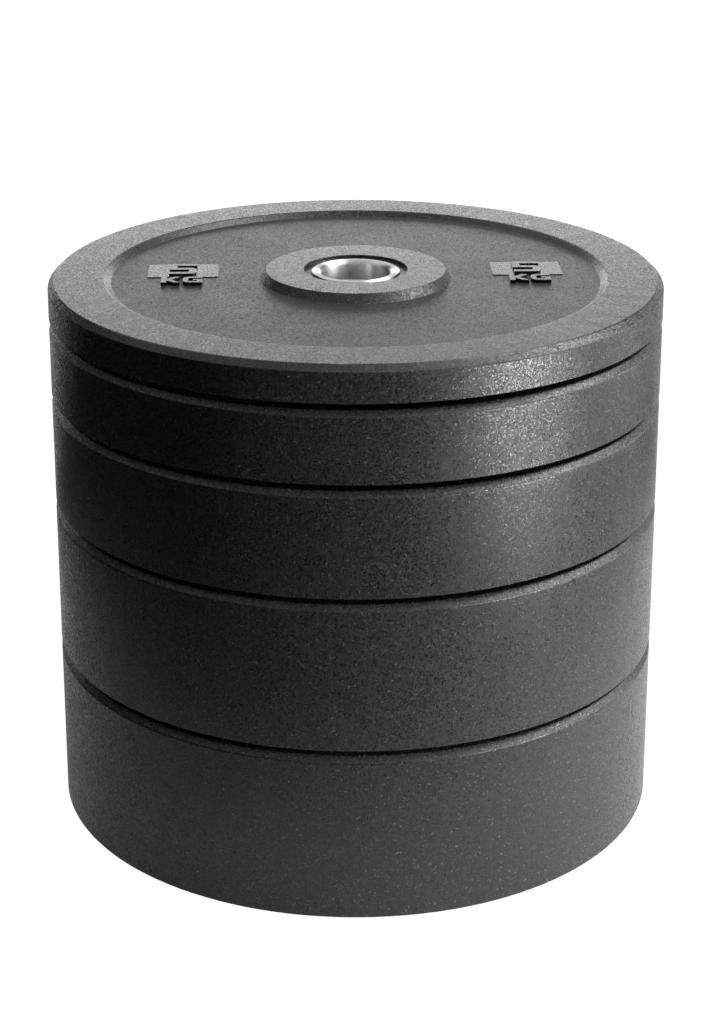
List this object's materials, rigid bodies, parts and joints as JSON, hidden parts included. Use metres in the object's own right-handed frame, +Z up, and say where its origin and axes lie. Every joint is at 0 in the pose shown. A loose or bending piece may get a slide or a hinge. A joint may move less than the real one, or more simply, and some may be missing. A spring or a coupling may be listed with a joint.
{
  "type": "bumper plate set",
  "caption": "Stack of black crumb-rubber bumper plates round steel inserts. Each has a raised hub, a shallow web, a bevelled rim and raised weight marks, and lifts off along the bore.",
  "frame": {"origin": "on the bore axis, in the lower hub face of the heaviest plate, on which the stack stands", "axes": "+Z up along the bore axis; the raised marks are read from the front, which is -Y, with +X to the right"},
  "size_m": [0.45, 0.45, 0.408],
  "materials": {
    "rubber": "matt black crumb rubber with a fine grey grain",
    "insert_steel": "bright turned and polished",
    "anchor_steel": "plain rolled"
  },
  "bodies": {
    "plate_25": {"rubber_body_25": "rubber", "insert_upper_25": "insert_steel", "insert_lower_25": "insert_steel", "anchor_disc_25": "anchor_steel"},
    "plate_20": {"rubber_body_20": "rubber", "insert_upper_20": "insert_steel", "insert_lower_20": "insert_steel", "anchor_disc_20": "anchor_steel"},
    "plate_15": {"rubber_body_15": "rubber", "insert_upper_15": "insert_steel", "insert_lower_15": "insert_steel", "anchor_disc_15": "anchor_steel"},
    "plate_10": {"rubber_body_10": "rubber", "insert_upper_10": "insert_steel", "insert_lower_10": "insert_steel", "anchor_disc_10": "anchor_steel"},
    "plate_05": {"rubber_body_05": "rubber", "insert_upper_05": "insert_steel", "insert_lower_05": "insert_steel", "anchor_disc_05": "anchor_steel"}
  },
  "joints": [
    {"name": "lift_20", "type": "slide", "parent": "plate_25", "child": "plate_20", "axis": [0, 0, 1], "range_m": [0, 0.1]},
    {"name": "lift_15", "type": "slide", "parent": "plate_20", "child": "plate_15", "axis": [0, 0, 1], "range_m": [0, 0.1]},
    {"name": "lift_10", "type": "slide", "parent": "plate_15", "child": "plate_10", "axis": [0, 0, 1], "range_m": [0, 0.1]},
    {"name": "lift_05", "type": "slide", "parent": "plate_10", "child": "plate_05", "axis": [0, 0, 1], "range_m": [0, 0.1]}
  ]
}
